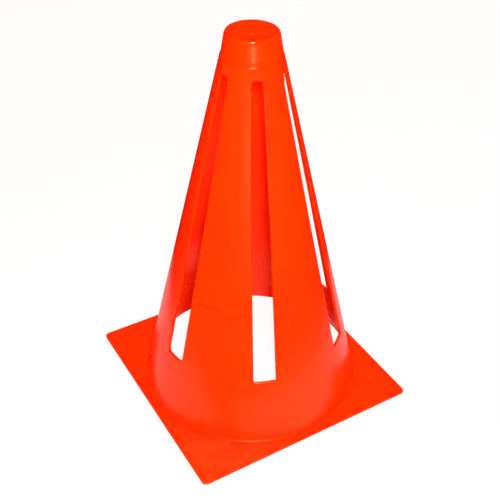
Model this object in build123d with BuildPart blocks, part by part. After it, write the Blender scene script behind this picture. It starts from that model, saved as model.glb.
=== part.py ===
"""Slotted marker cone on a square base, for sports drills.

The cone is one thin shell on a flat square plate. Six tall slots leave six
staves between a skirt below and a collar above. Pressed from the top, every
stave bends at the skirt, at half height and at the collar, and bows outward.
Each zone between two bending lines is its own solid here.

Millimetres, +Z up. The origin is the middle of the underside of the plate,
and the sides of the plate run along X and Y.
"""

from build123d import *
from math import asin, cos, degrees, hypot, radians, sin
import os

os.makedirs("parts", exist_ok=True)

# Overall sizes
height = 230.0
foot_radius = 66.4
crown_radius = 13.5
wall = 1.4

# Plate, which stands out past the foot of the cone on its four sides
plate_margin = 5.1
plate_thickness = 1.5
plate_corner_radius = 3.0
plate_edge_round = 0.4

# Foot of the skirt, where the wall meets the plate
toe_width = 1.0
toe_height = 1.0
toe_hollow = 0.2

# Slots between the staves, from the skirt's top edge to the collar's
slot_count = 6
slot_turn = 8.2
skirt_height = 39.4
slot_bottom_width = 12.9
slot_middle_width = 10.4
slot_top_width = 5.6
slot_corner_radius = 1.6
stave_edge_round = 0.35

# Bending lines and the clearance that each one is cut with
skirt_tab_length = 1.6
collar_tab_length = 2.6
bend_clearance = 0.3
press_range = 25.0

# Collar and crown cap, measured down from the top
cap_depth = 13.3
collar_depth = 6.7
shoulder_step = 0.2
top_thickness = 1.8
crown_edge_round = 1.2
gate_mark_radius = 5.2
gate_mark_height = 0.4
gate_mark_edge_round = 0.3

# Places that follow from these sizes
plate_side = 2 * (foot_radius + plate_margin)
slot_bottom = plate_thickness + skirt_height
shoulder_height = height - cap_depth
slot_top = shoulder_height - collar_depth

# Heights of the three bending lines
skirt_bend = slot_bottom + skirt_tab_length
collar_bend = slot_top - collar_tab_length
middle_bend = (skirt_bend + collar_bend) / 2

# Slope of the wall, and the wall measured level
wall_rise = height - plate_thickness
wall_run = foot_radius - crown_radius
wall_across = wall * hypot(wall_rise, wall_run) / wall_rise
stave_turn = 360 / slot_count


def outer_radius(level):
    """Radius of the outside of the wall at a height."""
    return foot_radius - wall_run * (level - plate_thickness) / wall_rise


def inner_radius(level):
    """Radius of the inside of the wall at a height."""
    return outer_radius(level) - wall_across


def radial_plane(turn):
    """Upright plane through the axis: local X points outward, local Y up."""
    outward = (cos(radians(turn)), sin(radians(turn)), 0)
    across = (sin(radians(turn)), -cos(radians(turn)), 0)
    return Plane(origin=(0, 0, 0), x_dir=outward, z_dir=across)


def facing_plane(turn):
    """Upright plane through the axis, seen from outside: local Y points up."""
    outward = (cos(radians(turn)), sin(radians(turn)), 0)
    along = (-sin(radians(turn)), cos(radians(turn)), 0)
    return Plane(origin=(0, 0, 0), x_dir=along, z_dir=outward)


def slot_outline(turn):
    """One slot seen from outside: square and widest below, round corners above."""
    with BuildSketch(facing_plane(turn)) as opening:
        with BuildLine():
            Polyline(
                (-slot_bottom_width / 2, slot_bottom),
                (slot_bottom_width / 2, slot_bottom),
                (slot_middle_width / 2, middle_bend),
                (slot_top_width / 2, slot_top),
                (-slot_top_width / 2, slot_top),
                (-slot_middle_width / 2, middle_bend),
                close=True,
            )
        make_face()
        fillet(opening.vertices().group_by(Axis.Y)[-1], radius=slot_corner_radius)
    return opening.sketch


def cut_slot(turn):
    """Cut one slot through the wall of the piece being made."""
    extrude(slot_outline(turn), amount=foot_radius, mode=Mode.SUBTRACT)


def wall_band(turn, arc, low, high):
    """Turn a length of the wall between two heights about the axis."""
    with BuildSketch(radial_plane(turn)) as section:
        with BuildLine():
            Polyline(
                (inner_radius(low), low),
                (outer_radius(low), low),
                (outer_radius(high), high),
                (inner_radius(high), high),
                close=True,
            )
        make_face()
    revolve(section.sketch, axis=Axis.Z, revolution_arc=arc)


def make_stave(first_slot, low, high):
    """Wall between two neighbouring slots, with its outer long edges eased."""
    with BuildPart() as stave:
        wall_band(first_slot, stave_turn, low, high)
        cut_slot(first_slot)
        cut_slot(first_slot + stave_turn)
        long_edges = stave.edges().filter_by(lambda e: abs((e @ 1 - e @ 0).Z) > (high - low) / 2)
        outer_edges = long_edges.sort_by(lambda e: hypot(e.center().X, e.center().Y))[-2:]
        fillet(outer_edges, radius=stave_edge_round)
    return stave


def finish(piece, name):
    """Name a finished piece and write it."""
    piece.part.label = name
    export_step(piece.part, f"parts/{name}.step")


# Square plate that the cone stands on, open under the cone
with BuildPart() as base_plate:
    with BuildSketch():
        RectangleRounded(plate_side, plate_side, plate_corner_radius)
        Circle(inner_radius(plate_thickness), mode=Mode.SUBTRACT)
    extrude(amount=plate_thickness)
    top_rim = base_plate.faces().sort_by(Axis.Z)[-1].outer_wire()
    fillet(top_rim.edges(), radius=plate_edge_round)
finish(base_plate, "base_plate")

# Skirt: the unslotted foot of the wall, with a short tab under every stave
skirt_top = skirt_bend - bend_clearance / 2
toe_top = plate_thickness + toe_height
with BuildPart() as skirt:
    with BuildSketch(radial_plane(0)):
        with BuildLine():
            toe_end = (outer_radius(plate_thickness) + toe_width, plate_thickness)
            toe_start = (outer_radius(toe_top), toe_top)
            SagittaArc(toe_end, toe_start, toe_hollow)
            Polyline(
                toe_start,
                (outer_radius(skirt_top), skirt_top),
                (inner_radius(skirt_top), skirt_top),
                (inner_radius(plate_thickness), plate_thickness),
                toe_end,
            )
        make_face()
    revolve(axis=Axis.Z)
    for number in range(slot_count):
        cut_slot(slot_turn + number * stave_turn)
finish(skirt, "skirt")

# Lower staves: skirt to half height
lower_low = skirt_bend + bend_clearance / 2
lower_high = middle_bend - bend_clearance / 2
for number in range(slot_count):
    lower_stave = make_stave(slot_turn + number * stave_turn, lower_low, lower_high)
    finish(lower_stave, f"lower_stave_{number + 1}")

# Upper staves: half height to collar
upper_low = middle_bend + bend_clearance / 2
upper_high = collar_bend - bend_clearance / 2
for number in range(slot_count):
    upper_stave = make_stave(slot_turn + number * stave_turn, upper_low, upper_high)
    finish(upper_stave, f"upper_stave_{number + 1}")

# Collar: the ring that joins the staves again above the slots
collar_low = collar_bend + bend_clearance / 2
with BuildPart() as collar:
    wall_band(0, 360, collar_low, shoulder_height)
    for number in range(slot_count):
        cut_slot(slot_turn + number * stave_turn)
finish(collar, "collar")

# Crown cap: set in by a fine shoulder, closed by a flat top with its gate mark
disc_top = height - gate_mark_height
disc_under = disc_top - top_thickness
with BuildPart() as crown_cap:
    with BuildSketch(radial_plane(0)) as half_section:
        with BuildLine():
            Polyline(
                (0, disc_top),
                (outer_radius(disc_top), disc_top),
                (outer_radius(shoulder_height) - shoulder_step, shoulder_height),
                (inner_radius(shoulder_height), shoulder_height),
                (inner_radius(disc_under), disc_under),
                (0, disc_under),
                close=True,
            )
        make_face()
        rim = half_section.vertices().group_by(Axis.Y)[-1].sort_by(Axis.X)[-1]
        fillet(rim, radius=crown_edge_round)
    revolve(axis=Axis.Z)
    with BuildSketch(Plane.XY.offset(disc_top)):
        Circle(gate_mark_radius)
    extrude(amount=gate_mark_height)
    fillet(crown_cap.edges().group_by(Axis.Z)[-1], radius=gate_mark_edge_round)
finish(crown_cap, "crown_cap")

# Bending axes, as distance from the cone's axis and height. The outer ones run
# along the outside of the wall and the middle one along the inner edges of a
# stave, so each bend opens its clearance and never closes it.
slot_half_turn = degrees(asin(slot_middle_width / 2 / inner_radius(middle_bend)))
stave_half_turn = stave_turn / 2 - slot_half_turn
middle_axis_radius = inner_radius(middle_bend) * cos(radians(stave_half_turn))
bend_axes = {
    "skirt": (outer_radius(skirt_bend), skirt_bend),
    "middle": (middle_axis_radius, middle_bend),
    "collar": (outer_radius(collar_bend), collar_bend),
}
for number in range(slot_count):
    stave_direction = slot_turn + (number + 1 / 2) * stave_turn
    away = Vector(cos(radians(stave_direction)), sin(radians(stave_direction)), 0)
    bend_direction = Vector(0, 0, 1).cross(away)
    place = away * outer_radius(skirt_bend) + Vector(0, 0, skirt_bend)
    RevoluteJoint(
        label=f"bend_{number + 1}",
        to_part=skirt.part,
        axis=Axis(place, bend_direction),
        angular_range=(0, press_range),
    )
for name, (distance, level) in bend_axes.items():
    print(f"{name} bend: {distance:.4f} out, {level:.4f} up")
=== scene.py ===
from math import asin, cos, hypot, pi, radians, sin, sqrt

import bpy
from mathutils import Matrix, Vector


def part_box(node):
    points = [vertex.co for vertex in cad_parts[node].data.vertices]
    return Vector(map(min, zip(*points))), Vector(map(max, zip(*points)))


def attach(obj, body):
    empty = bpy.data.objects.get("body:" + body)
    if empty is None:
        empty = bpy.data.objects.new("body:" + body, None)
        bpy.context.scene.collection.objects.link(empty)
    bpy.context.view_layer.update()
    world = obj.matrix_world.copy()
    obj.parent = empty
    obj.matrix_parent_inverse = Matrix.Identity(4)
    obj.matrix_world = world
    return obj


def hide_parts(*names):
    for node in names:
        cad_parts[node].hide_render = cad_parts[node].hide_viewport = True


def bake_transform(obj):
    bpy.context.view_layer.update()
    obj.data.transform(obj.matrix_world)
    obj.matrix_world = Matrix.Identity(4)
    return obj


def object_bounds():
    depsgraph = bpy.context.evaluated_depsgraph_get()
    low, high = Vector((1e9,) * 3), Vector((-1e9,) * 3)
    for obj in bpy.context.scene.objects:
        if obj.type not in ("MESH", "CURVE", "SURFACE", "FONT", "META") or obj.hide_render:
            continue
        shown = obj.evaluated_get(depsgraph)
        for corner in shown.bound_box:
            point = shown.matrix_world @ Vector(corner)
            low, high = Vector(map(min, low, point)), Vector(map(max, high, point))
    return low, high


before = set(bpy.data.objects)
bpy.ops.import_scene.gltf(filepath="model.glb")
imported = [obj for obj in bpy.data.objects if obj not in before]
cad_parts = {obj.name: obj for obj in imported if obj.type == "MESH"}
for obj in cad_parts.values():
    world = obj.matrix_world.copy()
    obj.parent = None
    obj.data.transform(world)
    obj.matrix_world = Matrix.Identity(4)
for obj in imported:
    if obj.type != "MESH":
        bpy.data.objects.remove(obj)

cad_low, cad_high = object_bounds()


# Base plate: a thin square of soft plastic, moulded in one shot with the cone
# and open under it, so that cones nest. It lies on the ground by its own
# weight, a little uneven, and its corner nearest the camera is rubbed dull.
plate_low, plate_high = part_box("base_plate")
plate_side = plate_high.x - plate_low.x
plate_top = plate_high.z
plate_corner_radius = 0.003
plate_edge_round = 0.0004
plate_under_round = 0.0002
foot_radius = 0.0664
crown_radius = 0.0135
wall = 0.0014
wall_slope = (foot_radius - crown_radius) / (cad_high.z - plate_top)
wall_across = wall * hypot(1, wall_slope)
lip_round = 0.004
plate_wave = 0.00012
mouth_ease = 0.02
edge_ease = 0.003


def outer_radius(level):
    """Radius of the outside of the cone's wall at a height."""
    return foot_radius - wall_slope * (level - plate_top)


def inner_radius(level):
    """Radius of the inside of the wall, which turns outward in a round lip at the ground."""
    rise = min(1, level / lip_round)
    return outer_radius(level) - wall_across + lip_round * (1 - sqrt(1 - (1 - rise) ** 2))


def plate_outline():
    """Rounded square as (middle of its round, outward direction) pairs, one for each column."""
    half = plate_side / 2 - plate_corner_radius
    side_steps = 44
    round_steps = 6
    columns = []
    for side in range(4):
        turn = Matrix.Rotation(side * pi / 2, 2)
        for step in range(1, side_steps):
            along = -half + 2 * half * step / side_steps
            columns.append((turn @ Vector((half, along)), turn @ Vector((1, 0))))
        for step in range(round_steps + 1):
            lean = pi / 2 * step / round_steps
            columns.append((turn @ Vector((half, half)), turn @ Vector((cos(lean), sin(lean)))))
    return columns


def plate_surface_height(x, y):
    """Slight unevenness of the thin plate's faces, never above its measured top."""
    ripple_share = 0.6
    wave = sin(61 * x + 1.3) * cos(47 * y - 0.6) + ripple_share * sin(93 * y + 31 * x)
    return plate_wave * (wave / (1 + ripple_share) - 1)


def plate_rows():
    """Cross-section of the plate as (inset from the edge, share from mouth to edge, height)."""
    top_steps = 12
    round_steps = 4
    mouth_steps = 7
    rows = []
    for step in range(top_steps + 1):
        rows.append((plate_edge_round, step / top_steps, plate_top))
    for step in range(1, round_steps + 1):
        lean = pi / 2 * step / round_steps
        drop = plate_edge_round * (1 - cos(lean))
        rows.append((plate_edge_round * (1 - sin(lean)), 1, plate_top - drop))
    rows.append((0, 1, plate_under_round))
    rows.append((plate_under_round, 1, 0))
    rows.append((plate_under_round, 0.5, 0))
    for step in range(mouth_steps):
        rows.append((plate_under_round, 0, plate_top * step / mouth_steps))
    return rows


def mesh_object(name, corners, faces, sharp_over=40):
    """New object at the origin from plain lists, smooth except over sharp edges."""
    mesh = bpy.data.meshes.new(name)
    mesh.from_pydata(corners, [], faces)
    mesh.validate()
    mesh.update()
    mesh.polygons.foreach_set("use_smooth", [True] * len(mesh.polygons))
    mesh.set_sharp_from_angle(angle=radians(sharp_over))
    thing = bpy.data.objects.new(name, mesh)
    bpy.context.scene.collection.objects.link(thing)
    return thing


def make_plate():
    """The plate as one closed ring of columns round the mouth."""
    columns = plate_outline()
    rows = plate_rows()
    corners = []
    for middle, outward in columns:
        for inset, share, level in rows:
            edge = middle + outward * (plate_corner_radius - inset)
            inner = edge.normalized() * inner_radius(max(level, plate_under_round))
            place = inner.lerp(edge, share)
            lift = 0
            if level == plate_top:
                ease = min(1, (place - inner).length / mouth_ease) * min(1, (edge - place).length / edge_ease)
                lift = plate_surface_height(place.x, place.y) * ease
            corners.append((place.x, place.y, level + lift))
    faces = []
    row_count = len(rows)
    for column in range(len(columns)):
        after = (column + 1) % len(columns)
        for row in range(row_count):
            next_row = (row + 1) % row_count
            faces.append((column * row_count + row, column * row_count + next_row,
                          after * row_count + next_row, after * row_count + row))
    return mesh_object("plate_moulding", corners, faces)


def group_socket(group, name, kind, value=None, way="INPUT"):
    """Add one socket to a node group and give it its plain value."""
    socket = group.interface.new_socket(name=name, in_out=way, socket_type=kind)
    if value is not None:
        socket.default_value = value
    return socket


def add_node(tree, kind, settings=None, **inputs):
    """Place a node, set its options, and feed its inputs by name with links or plain values."""
    node = tree.nodes.new(kind)
    for key, value in (settings or {}).items():
        setattr(node, key, value)
    for key, value in inputs.items():
        socket = node.inputs[key.replace("_", " ")]
        if isinstance(value, bpy.types.NodeSocket):
            tree.links.new(value, socket)
        else:
            socket.default_value = value
    return node


def sums(tree, operation, *terms):
    """Math node on links or plain numbers; gives its result."""
    node = tree.nodes.new("ShaderNodeMath")
    node.operation = operation
    for place, term in enumerate(terms):
        if isinstance(term, bpy.types.NodeSocket):
            tree.links.new(term, node.inputs[place])
        else:
            node.inputs[place].default_value = term
    return node.outputs[0]


def mixed(tree, share, first, second, kind="RGBA"):
    """Mix node for colours or numbers; gives its result."""
    node = tree.nodes.new("ShaderNodeMix")
    node.data_type = kind
    offset = {"FLOAT": 2, "RGBA": 6}[kind]
    for place, term in ((0, share), (offset, first), (offset + 1, second)):
        if isinstance(term, bpy.types.NodeSocket):
            tree.links.new(term, node.inputs[place])
        else:
            node.inputs[place].default_value = term
    return node.outputs[{"FLOAT": 0, "RGBA": 2}[kind]]


def make_skin_group():
    """Moulded soft plastic: cloudy pigment, shallow flow waves, fine peel, scuffs, haze and specks."""
    dust_colour = (1.0, 0.2, 0.06, 1)
    speck_colour = (0.4, 0.01, 0.0005, 1)
    scuff_dust = 0.12
    haze_dust = 0.09
    speck_share = 0.55
    cloud_roughness = 0.03
    scuff_roughness = 0.25
    scuff_depth = 0.000006
    group = bpy.data.node_groups.new("moulded_skin", "ShaderNodeTree")
    group_socket(group, "Place", "NodeSocketVector")
    group_socket(group, "Pigment", "NodeSocketColor", (1.0, 0.03, 0.0005, 1))
    group_socket(group, "Deep Pigment", "NodeSocketColor", (1.0, 0.022, 0.0004, 1))
    plain = {"Gloss Roughness": 0.24, "Wave Height": 0.00006, "Peel Height": 0.000003, "Scuffs": 0.5,
             "Haze": 0.0, "Specks": 0.5}
    for name, value in plain.items():
        group_socket(group, name, "NodeSocketFloat", value)
    group_socket(group, "Color", "NodeSocketColor", way="OUTPUT")
    group_socket(group, "Roughness", "NodeSocketFloat", way="OUTPUT")
    group_socket(group, "Height", "NodeSocketFloat", way="OUTPUT")
    inside = add_node(group, "NodeGroupInput").outputs
    place = inside["Place"]

    def noise(**settings):
        return add_node(group, "ShaderNodeTexNoise", **settings).outputs[0]

    def spread(value, low, high, **settings):
        ramp = add_node(group, "ShaderNodeMapRange", Value=value, From_Min=low, From_Max=high, **settings)
        return ramp.outputs[0]

    cloud = noise(Vector=place, Scale=38.0, Detail=3.0, Roughness=0.55)
    wave = noise(Vector=place, Scale=42.0, Detail=1.0, Roughness=0.3)
    peel = noise(Vector=place, Scale=900.0, Detail=2.0, Roughness=0.5)
    stretched = add_node(group, "ShaderNodeMapping", Vector=place, Rotation=(0.3, 0.5, 0.9),
                         Scale=(1.0, 0.06, 1.0)).outputs[0]
    marks = noise(Vector=stretched, Scale=520.0, Detail=3.0, Roughness=0.6)
    where = noise(Vector=place, Scale=26.0, Detail=2.0, Roughness=0.5)
    scuff = sums(group, "MULTIPLY", spread(marks, 0.6, 0.72), spread(where, 0.5, 0.68))
    scuff = sums(group, "MULTIPLY", scuff, inside["Scuffs"])
    cells = add_node(group, "ShaderNodeTexVoronoi", Vector=place, Scale=140.0, Randomness=1.0)
    reach = spread(noise(Vector=place, Scale=75.0, Detail=1.0), 0.66, 0.8, To_Min=0.0, To_Max=0.12)
    speck = sums(group, "LESS_THAN", cells.outputs["Distance"], reach)
    speck = sums(group, "MULTIPLY", speck, inside["Specks"])
    pigment = mixed(group, cloud, inside["Deep Pigment"], inside["Pigment"])
    dust = sums(group, "ADD", sums(group, "MULTIPLY", scuff, scuff_dust),
                sums(group, "MULTIPLY", inside["Haze"], haze_dust))
    dusty = mixed(group, dust, pigment, dust_colour)
    marked = mixed(group, sums(group, "MULTIPLY", speck, speck_share), dusty, speck_colour)
    rough = sums(group, "ADD", inside["Gloss Roughness"], sums(group, "MULTIPLY", cloud, cloud_roughness))
    rough = sums(group, "ADD", rough, sums(group, "MULTIPLY", scuff, scuff_roughness))
    height = sums(group, "ADD", sums(group, "MULTIPLY", wave, inside["Wave Height"]),
                  sums(group, "MULTIPLY", peel, inside["Peel Height"]))
    height = sums(group, "SUBTRACT", height, sums(group, "MULTIPLY", scuff, scuff_depth))
    out = add_node(group, "NodeGroupOutput").inputs
    group.links.new(marked, out["Color"])
    group.links.new(rough, out["Roughness"])
    group.links.new(height, out["Height"])
    return group


skin_group = make_skin_group()
plastic_specular = 0.5
plastic_specular_tint = (1.0, 0.75, 0.3, 1.0)
glow_weight = 1.0
glow_radius = (2.0, 0.12, 0.03)


def empty_material(name):
    """New material with an empty node tree; gives both."""
    material = bpy.data.materials.new(name)
    material.use_nodes = True
    material.node_tree.nodes.clear()
    return material, material.node_tree


def show(tree, shader, kind="ShaderNodeOutputMaterial"):
    """Send a shader to a new output node."""
    out = tree.nodes.new(kind)
    tree.links.new(shader.outputs[0], out.inputs["Surface"])


def make_plastic(name, depth, **skin):
    """Orange-red gloss plastic that light enters to a depth; gives the material and its skin node."""
    material, tree = empty_material(name)
    place = add_node(tree, "ShaderNodeTexCoord").outputs["Object"]
    layer = tree.nodes.new("ShaderNodeGroup")
    layer.node_tree = skin_group
    tree.links.new(place, layer.inputs["Place"])
    for key, value in skin.items():
        layer.inputs[key.replace("_", " ")].default_value = value
    bump = add_node(tree, "ShaderNodeBump", Height=layer.outputs["Height"], Strength=1.0, Distance=1.0)
    shader = add_node(tree, "ShaderNodeBsdfPrincipled", Base_Color=layer.outputs["Color"],
                      Roughness=layer.outputs["Roughness"], Normal=bump.outputs[0], IOR=1.5,
                      Specular_IOR_Level=plastic_specular, Specular_Tint=plastic_specular_tint,
                      Subsurface_Weight=glow_weight, Subsurface_Radius=glow_radius, Subsurface_Scale=depth)
    show(tree, shader)
    return material, layer


def dress(thing, material, body, *nodes):
    """Give a rigid piece its material, its body and the CAD nodes that it stands for."""
    thing.data.materials.clear()
    thing.data.materials.append(material)
    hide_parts(*nodes)
    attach(thing, body)


plate_plastic, plate_skin = make_plastic("plate_plastic", depth=0.001, Specks=0.5, Scuffs=0.3)
worn_corner = (-plate_side / 2, -plate_side / 2, plate_top)
worn_reach = 0.06
fully_worn_reach = 0.025


def wear_corner(tree, skin):
    """Haze the plate round its worn corner, in the irregular patches that rubbing leaves."""
    spot = add_node(tree, "ShaderNodeTexCoord").outputs["Object"]
    away = add_node(tree, "ShaderNodeVectorMath", {"operation": "DISTANCE"})
    tree.links.new(spot, away.inputs[0])
    away.inputs[1].default_value = worn_corner
    worn = add_node(tree, "ShaderNodeMapRange", {"interpolation_type": "SMOOTHSTEP"},
                    Value=away.outputs["Value"], From_Min=worn_reach, From_Max=fully_worn_reach).outputs[0]
    rubbed = add_node(tree, "ShaderNodeTexNoise", Vector=spot, Scale=130.0, Detail=3.0).outputs[0]
    rubbed = add_node(tree, "ShaderNodeMapRange", Value=rubbed, From_Min=0.35, From_Max=0.6).outputs[0]
    tree.links.new(sums(tree, "MULTIPLY", worn, rubbed), skin.inputs["Haze"])


wear_corner(plate_plastic.node_tree, plate_skin)
dress(make_plate(), plate_plastic, "root", "base_plate")


# Skirt: the unslotted foot of the cone, a ring of the same soft plastic, moulded
# onto the plate with a fine fillet. The slots end in its top edge, and between
# them it runs on into the staves.
slot_count = 6
# The slots aren't quite evenly spaced. The first comes again at the end, a full turn on.
slot_turns = [radians(turn) for turn in (4.0, 69.0, 128.2, 188.2, 248.2, 308.2, 364.0)]
first_fold_turn = 38.2
fold_turns = [radians(first_fold_turn + 360 / slot_count * number) for number in range(slot_count)]
slot_bottom = 0.0409
skirt_bend = 0.0425
slot_top = 0.210
collar_bend = 0.2074
middle_bend = (skirt_bend + collar_bend) / 2
slot_bottom_width = 0.0129
slot_middle_width = 0.0104
slot_top_width = 0.0056
toe_radius = 0.0004
toe_sunk = 0.0005
outer_edge_round = 0.0008
inner_edge_round = 0.0004


def slot_width(level):
    """Width of a slot at a height: widest below, in two straight runs."""
    low_share = min(1, max(0, (level - slot_bottom) / (middle_bend - slot_bottom)))
    high_share = min(1, max(0, (level - middle_bend) / (slot_top - middle_bend)))
    lower = slot_bottom_width + (slot_middle_width - slot_bottom_width) * low_share
    return lower + (slot_top_width - slot_middle_width) * high_share


def wall_point(slot, side_share, stave_share, radius, level):
    """Point of the wall at a slot (side_share from -1 to 1) or on the stave after it (stave_share 0 to 1)."""
    half = asin(slot_width(level) / 2 / radius)
    turn = slot_turns[slot]
    if stave_share is None:
        turn += asin(side_share * slot_width(level) / 2 / radius)
    else:
        turn += half + stave_share * (slot_turns[slot + 1] - turn - 2 * half)
    return radius * cos(turn), radius * sin(turn), level


def ring_columns(slot_shares, stave_steps):
    """All columns round the cone: (slot, share across the slot, share along the stave after it)."""
    columns = []
    for slot in range(slot_count):
        for share in slot_shares:
            columns.append((slot, share, None))
        for step in range(1, stave_steps):
            columns.append((slot, None, step / stave_steps))
    return columns


def weigh_edges(mesh, edge_weights):
    """Store how much of the bevel each listed edge gets."""
    layer = mesh.attributes.new("bevel_weight_edge", "FLOAT", "EDGE")
    for edge in mesh.edges:
        layer.data[edge.index].value = edge_weights.get(frozenset(edge.vertices), 0)


def settle(thing):
    """Turn an object with modifiers into a plain mesh of the same name."""
    evaluated = thing.evaluated_get(bpy.context.evaluated_depsgraph_get())
    mesh = bpy.data.meshes.new_from_object(evaluated)
    old = thing.data
    thing.modifiers.clear()
    thing.data = mesh
    bpy.data.meshes.remove(old)
    mesh.name = thing.name
    return thing


def round_edges(thing):
    """Ease the weighted edges with a small round and keep the faces beside them flat."""
    bevel = thing.modifiers.new("eased_edges", "BEVEL")
    bevel.width = outer_edge_round
    bevel.segments = 4
    bevel.limit_method = "WEIGHT"
    bevel.use_clamp_overlap = False
    bevel.harden_normals = True
    return settle(thing)


def make_ring(name, columns, corners, slot_rows, stave_rows):
    """Closed ring of an outer and an inner skin, with one more row at the staves than at the slots."""
    count = len(columns)
    row_count = len(corners) // count // 2
    if slot_rows[0] == stave_rows[0]:
        tab_row = sill_row = slot_rows[1]
    else:
        tab_row, sill_row = stave_rows[0], slot_rows[0]
    inner_weight = inner_edge_round / outer_edge_round
    faces = []
    weights = {}

    def spot(column, skin, row):
        return (column % count) * 2 * row_count + skin * row_count + row

    for here in range(count):
        after = here + 1
        at_slot = columns[here][1] is not None and columns[here][1] != 1
        low, high = slot_rows if at_slot else stave_rows
        for row in range(low, high):
            up = row + 1
            faces.append((spot(here, 0, row), spot(after, 0, row), spot(after, 0, up), spot(here, 0, up)))
            faces.append((spot(here, 1, row), spot(here, 1, up), spot(after, 1, up), spot(after, 1, row)))
        faces.append((spot(here, 0, high), spot(after, 0, high), spot(after, 1, high), spot(here, 1, high)))
        faces.append((spot(here, 0, low), spot(here, 1, low), spot(after, 1, low), spot(after, 0, low)))
        if at_slot:
            weights[frozenset((spot(here, 0, sill_row), spot(after, 0, sill_row)))] = 1
            weights[frozenset((spot(here, 1, sill_row), spot(after, 1, sill_row)))] = inner_weight
        if columns[here][1] in (-1, 1):
            side = [spot(here, 0, tab_row), spot(here, 0, tab_row + 1), spot(here, 1, tab_row + 1),
                    spot(here, 1, tab_row)]
            faces.append(side if columns[here][1] == -1 else side[::-1])
            weights[frozenset((side[0], side[1]))] = 1
            weights[frozenset((side[2], side[3]))] = inner_weight
    used = sorted({corner for face in faces for corner in face})
    renumbered = {old: new for new, old in enumerate(used)}
    faces = [tuple(renumbered[corner] for corner in face) for face in faces]
    weights = {frozenset(renumbered[corner] for corner in edge): value for edge, value in weights.items()}
    thing = mesh_object(name, [corners[old] for old in used], faces)
    weigh_edges(thing.data, weights)
    return round_edges(thing)


def make_skirt():
    """Skirt with its toe on the plate, closed below, on the tabs under the staves and on the sills."""
    slot_steps = 8
    stave_steps = 24
    toe_steps = 6
    wall_steps = 14
    columns = ring_columns([-1 + 2 * step / slot_steps for step in range(slot_steps + 1)], stave_steps)
    outer_rows = [(outer_radius(plate_top) + toe_radius, plate_top - toe_sunk)]
    for step in range(toe_steps + 1):
        lean = pi / 2 * step / toe_steps
        level = plate_top + toe_radius * (1 - cos(lean))
        outer_rows.append((outer_radius(level) + toe_radius * (1 - sin(lean)), level))
    first = plate_top + toe_radius
    for step in range(1, wall_steps + 1):
        level = first + (slot_bottom - first) * step / wall_steps
        outer_rows.append((outer_radius(level), level))
    sill_row = len(outer_rows) - 1
    outer_rows.append((outer_radius(skirt_bend), skirt_bend))
    inner_rows = [(inner_radius(level), level) for _, level in outer_rows]
    corners = []
    for column in columns:
        for rows in (outer_rows, inner_rows):
            for radius, level in rows:
                corners.append(wall_point(*column, radius, level))
    return make_ring("skirt_moulding", columns, corners, (0, sill_row), (0, sill_row + 1))


skirt_plastic, _ = make_plastic("skirt_plastic", depth=0.0015, Specks=0.4, Scuffs=0.3)
dress(make_skirt(), skirt_plastic, "root", "skirt")


# Staves: six strips of the cone's wall between the slots, moulded with the rest.
# Each is a lower and an upper length here, cut where the real strip stays
# straight, and the upper one ends in a thin web turned about its fold.
stave_cut = 0.0837
collar_fold_turn = radians(28.06)
fold_web_inset = 0.0003
flat_beside_round = 0.3
stave_columns = 30
edge_columns = 6
lower_rows = 40
upper_rows = 90
web_rows = 5
stave_sharp_over = 50


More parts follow.
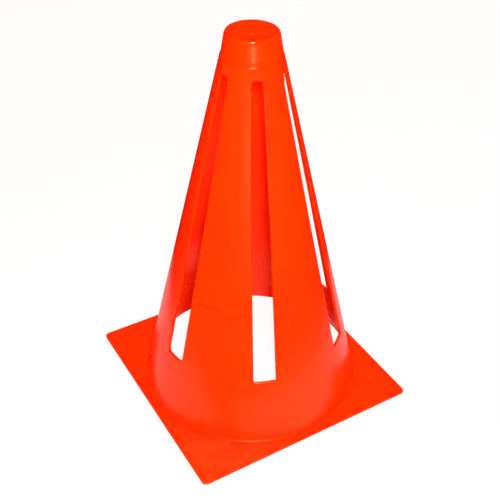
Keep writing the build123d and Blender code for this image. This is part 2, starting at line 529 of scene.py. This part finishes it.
def make_stave_tree():
    """Geometry Nodes tree of one length of a stave: a slab mapped onto the cone's wall."""
    tree = bpy.data.node_groups.new("stave_wall", "GeometryNodeTree")
    numbers = {
        "Fold Place": 0.0, "First Slot Turn": 0.0, "Next Slot Turn": 1.0, "Low": skirt_bend,
        "High": stave_cut, "Foot Radius": foot_radius, "Slope": wall_slope, "Plate Top": plate_top,
        "Wall Across": wall_across,
        "Slot Bottom": slot_bottom, "Middle Bend": middle_bend, "Slot Top": slot_top,
        "Bottom Width": slot_bottom_width, "Middle Width": slot_middle_width, "Top Width": slot_top_width,
        "Outer Round": outer_edge_round, "Inner Round": inner_edge_round, "Fold Turn": collar_fold_turn,
        "Web Inset": fold_web_inset,
    }
    for name, value in numbers.items():
        group_socket(tree, name, "NodeSocketFloat", value)
    counts = {"Columns": stave_columns, "Edge Columns": edge_columns, "Rows": lower_rows, "Web Rows": 0}
    for name, value in counts.items():
        group_socket(tree, name, "NodeSocketInt", value)
    group_socket(tree, "Plastic", "NodeSocketMaterial")
    group_socket(tree, "Geometry", "NodeSocketGeometry", way="OUTPUT")
    inside = add_node(tree, "NodeGroupInput").outputs

    def calc(operation, *terms):
        return sums(tree, operation, *terms)

    # A flat slab on whole numbers: column along X, row along Y, skin along Z.
    all_rows = calc("ADD", inside["Rows"], inside["Web Rows"])
    flat = add_node(tree, "GeometryNodeMeshGrid", Size_X=inside["Columns"], Size_Y=all_rows,
                    Vertices_X=calc("ADD", inside["Columns"], 1), Vertices_Y=calc("ADD", all_rows, 1))
    raised = add_node(tree, "GeometryNodeExtrudeMesh", Mesh=flat.outputs["Mesh"], Offset=(0.0, 0.0, 1.0),
                      Offset_Scale=1.0)
    raised.inputs["Individual"].default_value = False
    under = add_node(tree, "GeometryNodeFlipFaces", Mesh=flat.outputs["Mesh"])
    both = tree.nodes.new("GeometryNodeJoinGeometry")
    tree.links.new(raised.outputs["Mesh"], both.inputs[0])
    tree.links.new(under.outputs["Mesh"], both.inputs[0])
    slab = add_node(tree, "GeometryNodeMergeByDistance", Geometry=both.outputs[0], Distance=0.01)
    flat_place = tree.nodes.new("GeometryNodeInputPosition").outputs[0]
    place = add_node(tree, "ShaderNodeSeparateXYZ", Vector=flat_place)
    column = calc("ADD", place.outputs["X"], calc("DIVIDE", inside["Columns"], 2))
    row = calc("ADD", place.outputs["Y"], calc("DIVIDE", all_rows, 2))
    skin = calc("ROUND", place.outputs["Z"])

    # Height, and the part past the fold, which turns about it as a thin web.
    past_end = calc("GREATER_THAN", row, calc("ADD", inside["Rows"], 0.5))
    high_share = calc("DIVIDE", calc("MINIMUM", row, inside["Rows"]), inside["Rows"])
    level = calc("MULTIPLY_ADD", high_share, calc("SUBTRACT", inside["High"], inside["Low"]), inside["Low"])
    web_row = calc("MAXIMUM", calc("SUBTRACT", row, calc("ADD", inside["Rows"], 1)), 0)
    web_steps = calc("MAXIMUM", calc("SUBTRACT", inside["Web Rows"], 1), 1)
    web_turn = calc("MULTIPLY", calc("DIVIDE", web_row, web_steps), inside["Fold Turn"])

    # Rounded long edges: the columns next to a side go round it in equal turns.
    near_side = calc("MINIMUM", column, calc("SUBTRACT", inside["Columns"], column))
    round_steps = calc("SUBTRACT", inside["Edge Columns"], 1)
    lean = calc("MULTIPLY", calc("DIVIDE", calc("MINIMUM", near_side, round_steps), round_steps), pi / 2)
    edge_round = mixed(tree, skin, inside["Inner Round"], inside["Outer Round"], "FLOAT")
    inset = calc("MULTIPLY", edge_round, calc("SUBTRACT", 1, calc("COSINE", lean)))
    hold = calc("GREATER_THAN", near_side, calc("SUBTRACT", inside["Edge Columns"], 0.5))
    inset = calc("MULTIPLY_ADD", hold, calc("MULTIPLY", edge_round, flat_beside_round), inset)
    inset = calc("MULTIPLY_ADD", past_end, inside["Web Inset"], inset)
    drop = calc("MULTIPLY", edge_round, calc("SUBTRACT", 1, calc("SINE", lean)))
    drop = calc("MULTIPLY_ADD", past_end, inside["Web Inset"], drop)

    # Radius of this skin, and the turns of the two side planes at that radius.
    fall = calc("MULTIPLY", inside["Slope"], calc("SUBTRACT", level, inside["Plate Top"]))
    outside = calc("SUBTRACT", inside["Foot Radius"], fall)
    outer_skin = calc("SUBTRACT", outside, drop)
    inner_skin = calc("ADD", calc("SUBTRACT", outside, inside["Wall Across"]), drop)
    radius = mixed(tree, skin, inner_skin, outer_skin, "FLOAT")
    lower_share = add_node(tree, "ShaderNodeMapRange", Value=level, From_Min=inside["Slot Bottom"],
                           From_Max=inside["Middle Bend"]).outputs[0]
    upper_share = add_node(tree, "ShaderNodeMapRange", Value=level, From_Min=inside["Middle Bend"],
                           From_Max=inside["Slot Top"]).outputs[0]
    lower_width = mixed(tree, lower_share, inside["Bottom Width"], inside["Middle Width"], "FLOAT")
    width = mixed(tree, upper_share, lower_width, inside["Top Width"], "FLOAT")
    slot_half_turn = calc("ARCSINE", calc("DIVIDE", calc("DIVIDE", width, 2), radius))
    side_turn = calc("ADD", slot_half_turn, calc("DIVIDE", inset, radius))
    first_side = calc("ADD", inside["First Slot Turn"], side_turn)
    next_side = calc("SUBTRACT", inside["Next Slot Turn"], side_turn)
    span = calc("SUBTRACT", inside["Columns"], calc("MULTIPLY", inside["Edge Columns"], 2))
    across = calc("DIVIDE", calc("SUBTRACT", column, inside["Edge Columns"]), span)
    across = calc("MINIMUM", calc("MAXIMUM", across, 0), 1)
    turn = calc("SUBTRACT", mixed(tree, across, first_side, next_side, "FLOAT"), inside["Fold Place"])

    # Onto the cone, with the middle of the fold along X, then round to its own place.
    seat = add_node(tree, "ShaderNodeCombineXYZ", X=calc("MULTIPLY", radius, calc("COSINE", turn)),
                    Y=calc("MULTIPLY", radius, calc("SINE", turn)), Z=level).outputs[0]
    fold_rise = calc("SUBTRACT", inside["High"], inside["Plate Top"])
    fold_radius = calc("SUBTRACT", inside["Foot Radius"], calc("MULTIPLY", inside["Slope"], fold_rise))
    fold = add_node(tree, "ShaderNodeCombineXYZ", X=fold_radius, Y=0.0, Z=inside["High"]).outputs[0]
    folded = add_node(tree, "ShaderNodeVectorRotate", {"rotation_type": "Y_AXIS"}, Vector=seat, Center=fold,
                      Angle=web_turn).outputs[0]
    turned = add_node(tree, "ShaderNodeVectorRotate", {"rotation_type": "Z_AXIS"}, Vector=folded,
                      Angle=inside["Fold Place"]).outputs[0]
    placed = add_node(tree, "GeometryNodeSetPosition", Geometry=slab.outputs[0], Position=turned)
    real = add_node(tree, "GeometryNodeRealizeInstances", Geometry=placed.outputs[0])
    finished = add_node(tree, "GeometryNodeSetMaterial", Geometry=real.outputs[0], Material=inside["Plastic"])
    out = add_node(tree, "NodeGroupOutput")
    tree.links.new(finished.outputs[0], out.inputs["Geometry"])
    return tree


stave_tree = make_stave_tree()
stave_plastic, _ = make_plastic("stave_plastic", depth=0.0015, Specks=0.0, Scuffs=0.1, Wave_Height=0.00004)


def make_stave_length(name, **sizes):
    """One length of a stave as a plain closed mesh."""
    thing = mesh_object(name, [], [])
    modifier = thing.modifiers.new("stave_wall", "NODES")
    modifier.node_group = stave_tree
    sizes["Plastic"] = stave_plastic
    for item in stave_tree.interface.items_tree:
        key = item.name.replace(" ", "_")
        if item.item_type == "SOCKET" and item.in_out == "INPUT" and key in sizes:
            modifier[item.identifier] = sizes[key]
    settle(thing)
    thing.data.polygons.foreach_set("use_smooth", [True] * len(thing.data.polygons))
    thing.data.set_sharp_from_angle(angle=radians(stave_sharp_over))
    return thing


for number in range(1, slot_count + 1):
    place = {"Fold_Place": fold_turns[number - 1], "First_Slot_Turn": slot_turns[number - 1],
             "Next_Slot_Turn": slot_turns[number]}
    lower = make_stave_length(f"stave_{number}_lower_length", **place)
    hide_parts(f"lower_stave_{number}")
    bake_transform(lower)
    upper = make_stave_length(f"stave_{number}_upper_length", Low=stave_cut, High=collar_bend,
                              Rows=upper_rows, Web_Rows=web_rows, **place)
    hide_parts(f"upper_stave_{number}")
    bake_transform(upper)


# Collar: the ring of the same plastic that closes the slots above and holds the
# staves together. The slots' rounded tops are cut into its lower edge, and a
# fine shoulder is its upper one.
collar_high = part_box("collar")[1]
shoulder_level = collar_high.z
slot_corner_radius = 0.0016
shoulder_round = 0.00005


def make_collar():
    """Collar arched over each slot, on columns that follow the arch."""
    corner_steps = 6
    stave_steps = 16
    rise_steps = 9
    round_rows = 3
    straight = slot_top_width / 2 - slot_corner_radius
    arch = []
    for step in range(corner_steps + 1):
        lean = pi / 2 * step / corner_steps
        drop = slot_corner_radius * (1 - sin(lean))
        arch.append((straight + slot_corner_radius * cos(lean), slot_top - drop))
    across = [-x for x, _ in arch] + [0.0] + [x for x, _ in reversed(arch)]
    heights = [z for _, z in arch] + [slot_top] + [z for _, z in reversed(arch)]
    shares = [x / (slot_top_width / 2) for x in across]
    shares[0], shares[-1] = -1, 1
    columns = ring_columns(shares, stave_steps)
    corners = []
    for column in columns:
        low = heights[0] if column[1] is None else heights[shares.index(column[1])]
        rise = shoulder_level - shoulder_round - low
        levels = [collar_bend] + [low + rise * step / rise_steps for step in range(rise_steps + 1)]
        for skin in (0, 1):
            for level in levels:
                corners.append(wall_point(*column, outer_radius(level) - skin * wall_across, level))
            for step in range(1, round_rows + 1):
                lean = pi / 2 * step / round_rows
                level = shoulder_level - shoulder_round * (1 - sin(lean))
                inset = 0 if skin else shoulder_round * (1 - cos(lean))
                corners.append(wall_point(*column, outer_radius(level) - skin * wall_across - inset, level))
    last = rise_steps + round_rows + 1
    return make_ring("collar_moulding", columns, corners, (1, last), (0, last))


crown_plastic, _ = make_plastic("crown_plastic", depth=0.0008, Gloss_Roughness=0.15, Specks=0.0, Scuffs=0.1,
                                Wave_Height=0.00002)
dress(make_collar(), crown_plastic, "crown", "collar")


# Crown cap: the closed end of the same moulding, flared at its foot to meet the
# collar flush. Its slightly dished top keeps the round mark of the gate that the
# plastic was shot through, worn down but for three nubs.
crown_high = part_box("crown_cap")[1]
cap_set_in = 0.0004
cap_flare_height = 0.0032
cap_fullness = 0.00035
crown_edge_round = 0.001
gate_mark_height = 0.0004
gate_mark_radius = 0.0052
gate_mark_slope = 0.00015
gate_mark_dish = 0.00008
gate_mark_wear = 0.0003
gate_nubs = ((165, 0.0030), (236, 0.0030), (322, 0.0043))
gate_nub_reach = 0.0007
top_thickness = 0.0018
top_inner_round = 0.0008
top_dish = 0.00012
cap_turn_steps = 216
cap_sharp_over = 60


def smooth_step(share):
    """Ease from 0 to 1 with level ends."""
    share = min(1, max(0, share))
    return share * share * (3 - 2 * share)


def cap_profile():
    """Closed half section of the cap as (radius, height), from the middle of its top round to under it."""
    mark_steps = 30
    slope_steps = 8
    flat_steps = 8
    round_steps = 8
    side_steps = 12
    flare_steps = 8
    inner_steps = 6
    inner_round_steps = 4
    under_steps = 6
    disc_top = crown_high.z - gate_mark_height
    slope_start = gate_mark_radius - gate_mark_slope
    points = []
    for step in range(mark_steps):
        share = step / mark_steps
        points.append((slope_start * share, crown_high.z - gate_mark_dish * (1 - share ** 4)))
    for step in range(slope_steps + 1):
        share = step / slope_steps
        radius = slope_start + 2 * gate_mark_slope * share
        points.append((radius, crown_high.z - (gate_mark_height + top_dish) * smooth_step(share)))
    flat_start = gate_mark_radius + gate_mark_slope
    flat_end = outer_radius(disc_top) + cap_fullness - crown_edge_round
    for step in range(1, flat_steps + 1):
        share = step / flat_steps
        radius = flat_start + (flat_end - flat_start) * share
        points.append((radius, disc_top - top_dish * (1 - smooth_step(share))))
    for step in range(1, round_steps + 1):
        lean = (pi / 2 - wall_slope) * step / round_steps
        drop = crown_edge_round * (1 - cos(lean))
        points.append((flat_end + crown_edge_round * sin(lean), disc_top - drop))
    side_height = points[-1][1] - shoulder_level
    rises = [side_height - (side_height - cap_flare_height) * step / side_steps
             for step in range(1, side_steps + 1)]
    rises += [cap_flare_height * (1 - step / flare_steps) for step in range(1, flare_steps + 1)]
    for rise in rises:
        set_in = cap_set_in - (cap_set_in + cap_fullness) * rise / side_height
        set_in *= 1 - max(0, 1 - rise / cap_flare_height) ** 2
        points.append((outer_radius(shoulder_level + rise) - set_in, shoulder_level + rise))
    under = disc_top - top_thickness
    points.append((outer_radius(shoulder_level) - wall_across, shoulder_level))
    for step in range(1, inner_steps + 1):
        level = shoulder_level + (under - top_inner_round - shoulder_level) * step / inner_steps
        points.append((outer_radius(level) - wall_across, level))
    for step in range(1, inner_round_steps + 1):
        lean = pi / 2 * step / inner_round_steps
        radius = outer_radius(under) - wall_across - top_inner_round * (1 - cos(lean))
        points.append((radius, under - top_inner_round * (1 - sin(lean))))
    under_radius = points[-1][0]
    for step in range(1, under_steps + 1):
        points.append((under_radius * (1 - step / under_steps), under))
    return points


def gate_wear(radius, level, turn):
    """How far the gate mark is worn down at a place: all but the nubs that the broken gate left."""
    if level < crown_high.z - gate_mark_height or radius > gate_mark_radius:
        return 0
    kept = 0
    for nub_turn, nub_radius in gate_nubs:
        away = hypot(radius * cos(turn) - nub_radius * cos(radians(nub_turn)),
                     radius * sin(turn) - nub_radius * sin(radians(nub_turn)))
        kept = max(kept, smooth_step(1 - away / gate_nub_reach))
    return gate_mark_wear * (1 - kept)


def turn_profile(name, points, steps):
    """Turn a half section that starts and ends on the axis into a closed mesh."""
    on_axis = 1e-9
    corners = []
    rings = []
    for radius, level in points:
        if radius < on_axis:
            rings.append([len(corners)] * steps)
            corners.append((0, 0, level))
            continue
        rings.append([len(corners) + step for step in range(steps)])
        for step in range(steps):
            turn = 2 * pi * step / steps
            corners.append((radius * cos(turn), radius * sin(turn), level - gate_wear(radius, level, turn)))
    faces = []
    for ring, following in zip(rings, rings[1:]):
        for step in range(steps):
            after = (step + 1) % steps
            face = [ring[step], following[step], following[after], ring[after]]
            face = [corner for place, corner in enumerate(face) if corner != face[place - 1]]
            faces.append(face)
    return mesh_object(name, corners, faces, sharp_over=cap_sharp_over)


cap = turn_profile("crown_cap_moulding", cap_profile(), cap_turn_steps)
dress(cap, crown_plastic, "crown", "crown_cap")


# Table and light: a white table top and background under an even soft fill, with
# the flash of the camera beside it and a soft box behind the cone. The gloss sees
# a lit sheet on the table, cut back on one side as a painted shadow, and a dim
# room with one soft window, which light nothing.
table_half = 3.0
table_drop = 0.00005
table_white = 0.82
table_share = 0.93
fill_colour = (1.0, 0.5, 0.42, 1.0)
fill_strength = 0.8
sheet_radius = 0.155
# The lit sheet is cut back towards the front left so that the dim room shows there instead: a painted shadow
# in the cone's reflections.
sheet_shadow_cut = 0.05
shadow_cut_turn = radians(220)
shadow_cut_half = radians(42)
sheet_drop = 0.00002
sheet_white = 0.4
room_radius = 1.4
room_level = 0.22
room_glow = 0.004
room_steps = 96
window_turn = radians(244)
window_colour = (1.0, 0.97, 0.92, 1)
broad_window = {"half_width": 0.5, "middle": -0.11, "half_height": 0.1, "strength": 3.5}
narrow_window = {"half_width": 0.08, "middle": -0.09, "half_height": 0.06, "strength": 8.0}


def seen_directly(tree):
    """1 on rays that look at something, straight, in a reflection or through glass, and 0 on the rest."""
    rays = add_node(tree, "ShaderNodeLightPath").outputs
    seen = sums(tree, "MAXIMUM", rays["Is Camera Ray"], rays["Is Glossy Ray"])
    return sums(tree, "MAXIMUM", seen, rays["Is Transmission Ray"])


def shader_mix(tree, share, first, second):
    """Mix of two shaders."""
    blend = tree.nodes.new("ShaderNodeMixShader")
    for place, source in enumerate((share, first.outputs[0], second.outputs[0])):
        tree.links.new(source, blend.inputs[place])
    return blend


def make_table():
    """White table top, a flat plane at the height of the plate's underside."""
    corners = [(-table_half, -table_half, -table_drop), (table_half, -table_half, -table_drop),
               (table_half, table_half, -table_drop), (-table_half, table_half, -table_drop)]
    table = mesh_object("table_top", corners, [(0, 1, 2, 3)])
    material, tree = empty_material("white_table")
    surface = add_node(tree, "ShaderNodeBsdfDiffuse", Color=(table_white, table_white, table_white, 1))
    white = add_node(tree, "ShaderNodeEmission", Color=(1, 1, 1, 1), Strength=1.0)
    share = sums(tree, "MULTIPLY", seen_directly(tree), table_share)
    show(tree, shader_mix(tree, share, surface, white))
    table.data.materials.append(material)


def make_studio():
    """White background, with an even soft fill that only lights."""
    world = bpy.data.worlds.new("studio")
    bpy.context.scene.world = world
    world.use_nodes = True
    tree = world.node_tree
    tree.nodes.clear()
    fill = add_node(tree, "ShaderNodeBackground", Color=fill_colour, Strength=fill_strength)
    white = add_node(tree, "ShaderNodeBackground", Color=(1, 1, 1, 1), Strength=1.0)
    show(tree, shader_mix(tree, seen_directly(tree), fill, white), "ShaderNodeOutputWorld")


def sheet_reach(turn):
    """How far the lit white sheet reaches from the cone in a direction; it is cut back towards the front left
    as a painted shadow in reflections.
    """
    return sheet_radius - sheet_shadow_cut * smooth_step(1 - abs((turn - shadow_cut_turn) / shadow_cut_half))


def only_reflected(thing):
    """Leave a stage piece in reflections alone."""
    thing.visible_camera = False
    thing.visible_diffuse = False
    thing.visible_transmission = False
    thing.visible_volume_scatter = False
    thing.visible_shadow = False


def make_sheet():
    """The lit part of the table round the cone, which its gloss shows with real shadows and with a painted
    shadow where the sheet is cut back.
    """
    corners = [(0, 0, -sheet_drop)]
    for step in range(room_steps):
        turn = 2 * pi * step / room_steps
        reach = sheet_reach(turn)
        corners.append((reach * cos(turn), reach * sin(turn), -sheet_drop))
    faces = [(0, 1 + step, 1 + (step + 1) % room_steps) for step in range(room_steps)]
    sheet = mesh_object("lit_sheet", corners, faces)
    material, tree = empty_material("lit_sheet")
    show(tree, add_node(tree, "ShaderNodeBsdfDiffuse", Color=(sheet_white, sheet_white, sheet_white, 1)))
    sheet.data.materials.append(material)
    only_reflected(sheet)


def window_light(tree, way, half_width, middle, half_height, strength):
    """Soft-edged patch of window light on unit directions, straight ahead along X."""
    across = sums(tree, "DIVIDE", sums(tree, "ABSOLUTE", way["Y"]), half_width)
    above = sums(tree, "ABSOLUTE", sums(tree, "SUBTRACT", way["Z"], middle))
    up = sums(tree, "DIVIDE", above, half_height)
    fades = []
    for share in (across, up):
        fade = add_node(tree, "ShaderNodeMapRange", {"interpolation_type": "SMOOTHSTEP"}, Value=share,
                        From_Min=1.0, From_Max=0.0)
        fades.append(fade.outputs[0])
    return sums(tree, "MULTIPLY", sums(tree, "MULTIPLY", *fades), strength)


def make_room():
    """Dim room beyond the lit sheet, with a soft bright window in front of the cone."""
    rings = 14
    corners = []
    for ring in range(rings):
        lean = max(0, ring - 1) * pi / 2 / (rings - 2)
        for step in range(room_steps):
            turn = 2 * pi * step / room_steps
            radius = room_radius * cos(lean) if ring else sheet_reach(turn)
            level = room_radius * sin(lean) if ring else 0
            corners.append((radius * cos(turn), radius * sin(turn), level - sheet_drop))
    faces = []
    for low in range(0, (rings - 1) * room_steps, room_steps):
        high = low + room_steps
        for step in range(room_steps):
            after = (step + 1) % room_steps
            faces.append((low + step, low + after, high + after, high + step))
    room = mesh_object("dim_room", corners, faces)
    material, tree = empty_material("dim_room")
    away = add_node(tree, "ShaderNodeVectorMath", {"operation": "SUBTRACT"})
    tree.links.new(add_node(tree, "ShaderNodeTexCoord").outputs["Object"], away.inputs[0])
    away.inputs[1].default_value = (0.0, 0.0, room_level)
    unit = add_node(tree, "ShaderNodeVectorMath", {"operation": "NORMALIZE"})
    tree.links.new(away.outputs[0], unit.inputs[0])
    turned = add_node(tree, "ShaderNodeVectorRotate", {"rotation_type": "Z_AXIS"}, Vector=unit.outputs[0],
                      Angle=-window_turn)
    way = add_node(tree, "ShaderNodeSeparateXYZ", Vector=turned.outputs[0]).outputs
    windows = sums(tree, "ADD", window_light(tree, way, **broad_window),
                   window_light(tree, way, **narrow_window))
    light = sums(tree, "MULTIPLY", windows, sums(tree, "GREATER_THAN", way["X"], 0))
    show(tree, add_node(tree, "ShaderNodeEmission", Color=window_colour,
                        Strength=sums(tree, "ADD", light, room_glow)))
    room.data.materials.append(material)
    only_reflected(room)


def add_lamp(name, place, aim, size, power):
    """Square soft box that faces a point."""
    light = bpy.data.lights.new(name, "AREA")
    light.shape = "SQUARE"
    light.size = size
    light.energy = power
    lamp = bpy.data.objects.new(name, light)
    lamp.location = place
    lamp.rotation_euler = (Vector(aim) - Vector(place)).to_track_quat("-Z", "Y").to_euler()
    bpy.context.scene.collection.objects.link(lamp)
    return lamp


make_table()
make_studio()
make_sheet()
make_room()
add_lamp("camera_flash", place=(-0.189, -0.360, 0.435), aim=(0, 0, 0.1), size=0.035, power=4.5)
back_box = add_lamp("back_box", place=(0.45, 0.23, 0.65), aim=(0, 0, 0.05), size=1.0, power=3.5)
back_box.visible_glossy = False


# Camera: where the photograph was taken from, above and in front of the cone.
camera_place = Vector((-0.2062, -0.3501, 0.4053))
camera_pitch = 0.655
camera_roll = 0.0211
camera_turn = radians(-31.845)
camera = bpy.data.cameras.new("photo_camera")
camera.sensor_width = 36.0
camera.lens = 62.78
camera.shift_x = -0.0341
camera.clip_start = 0.01
camera.clip_end = 20.0
photo_camera = bpy.data.objects.new("photo_camera", camera)
turns = (Matrix.Rotation(camera_turn, 3, "Z") @ Matrix.Rotation(pi / 2 - camera_pitch, 3, "X")
         @ Matrix.Rotation(camera_roll, 3, "Z"))
photo_camera.location = camera_place
photo_camera.rotation_euler = turns.to_euler()
bpy.context.scene.collection.objects.link(photo_camera)
bpy.context.scene.camera = photo_camera
bpy.context.scene.view_settings.view_transform = "Standard"
